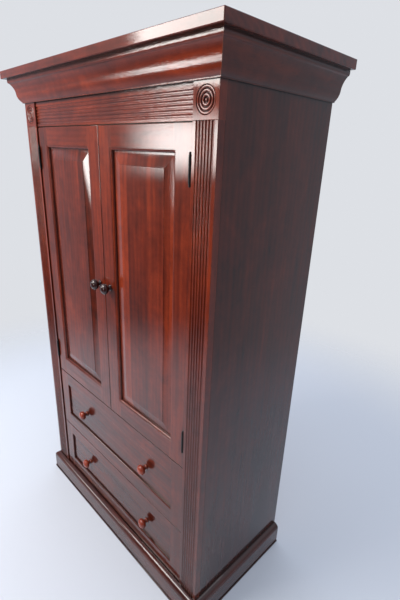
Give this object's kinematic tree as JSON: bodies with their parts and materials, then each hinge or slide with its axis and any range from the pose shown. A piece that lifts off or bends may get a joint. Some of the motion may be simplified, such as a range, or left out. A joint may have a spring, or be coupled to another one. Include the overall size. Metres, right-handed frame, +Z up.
{
  "type": "armoire",
  "caption": "Tall two-door armoire with a hanging rail and hat shelf inside, full-width drawers below, fluted pilasters, corner roundels and a moulded crown.",
  "frame": {"origin": "on the floor, under the middle of the top board's outline", "axes": "+Z up, the doors and drawers face -Y, +X to the right of someone facing the doors"},
  "size_m": [1.226, 0.584, 2],
  "materials": {
    "lacquered_wood": "high-gloss clear lacquer over red-brown stained cherry",
    "turned_wood": "high-gloss clear lacquer over turned hardwood",
    "interior_wood": "satin clear lacquer over lightly stained solid wood",
    "plywood": "matt, sanded plywood with a thin sealer",
    "black_metal": "satin black enamel on steel",
    "steel": "zinc-plated steel",
    "chrome": "polished chrome plate",
    "black_plastic": "moulded dark brown plastic"
  },
  "bodies": {
    "carcase": {"base_plate": "lacquered_wood", "plinth_rail": "lacquered_wood", "bottom_board": "interior_wood", "base_moulding_front": "lacquered_wood", "base_moulding_left": "lacquered_wood", "base_moulding_right": "lacquered_wood", "left_side": "lacquered_wood", "right_side": "lacquered_wood", "back_panel": "plywood", "wardrobe_floor": "interior_wood", "ceiling_board": "interior_wood", "drawer_divider_rail": "interior_wood", "left_pilaster": "lacquered_wood", "right_pilaster": "lacquered_wood", "frieze": "lacquered_wood", "corner_blocks": "lacquered_wood", "head_rail": "lacquered_wood", "crown_front": "lacquered_wood", "crown_left": "lacquered_wood", "crown_right": "lacquered_wood", "top_board": "lacquered_wood", "frame_hinge_leaves": "black_metal", "hinge_pins": "black_metal", "drawer_runners": "interior_wood", "hat_shelf": "interior_wood", "shelf_pins": "steel", "hanging_rod": "chrome", "rod_sockets": "chrome", "door_stop": "interior_wood", "door_catches": "black_plastic"},
    "left_door": {"left_door_stiles": "lacquered_wood", "left_door_rails": "lacquered_wood", "left_door_panel": "lacquered_wood", "left_door_hinge_leaves": "black_metal", "left_door_knob": "turned_wood", "left_door_knob_screw": "steel", "left_door_strike": "steel"},
    "right_door": {"right_door_stiles": "lacquered_wood", "right_door_rails": "lacquered_wood", "right_door_panel": "lacquered_wood", "right_door_hinge_leaves": "black_metal", "right_door_knob": "turned_wood", "right_door_knob_screw": "steel", "right_door_strike": "steel"},
    "upper_drawer": {"upper_drawer_stiles": "lacquered_wood", "upper_drawer_rails": "lacquered_wood", "upper_drawer_panel": "lacquered_wood", "upper_drawer_box_sides": "interior_wood", "upper_drawer_box_back": "interior_wood", "upper_drawer_box_bottom": "plywood", "upper_drawer_knobs": "turned_wood", "upper_drawer_knob_screws": "steel"},
    "lower_drawer": {"lower_drawer_stiles": "lacquered_wood", "lower_drawer_rails": "lacquered_wood", "lower_drawer_panel": "lacquered_wood", "lower_drawer_box_sides": "interior_wood", "lower_drawer_box_back": "interior_wood", "lower_drawer_box_bottom": "plywood", "lower_drawer_knobs": "turned_wood", "lower_drawer_knob_screws": "steel"}
  },
  "joints": [
    {"name": "left_door_hinge", "type": "hinge", "parent": "carcase", "child": "left_door", "pos_m": [-0.4565, -0.2287, 1.23925], "axis": [0, 0, -1], "range_deg": [0, 120]},
    {"name": "right_door_hinge", "type": "hinge", "parent": "carcase", "child": "right_door", "pos_m": [0.4565, -0.2287, 1.23925], "axis": [0, 0, 1], "range_deg": [0, 120]},
    {"name": "upper_drawer_slide", "type": "slide", "parent": "carcase", "child": "upper_drawer", "axis": [0, -1, 0], "range_m": [0, 0.34]},
    {"name": "lower_drawer_slide", "type": "slide", "parent": "carcase", "child": "lower_drawer", "axis": [0, -1, 0], "range_m": [0, 0.34]}
  ]
}
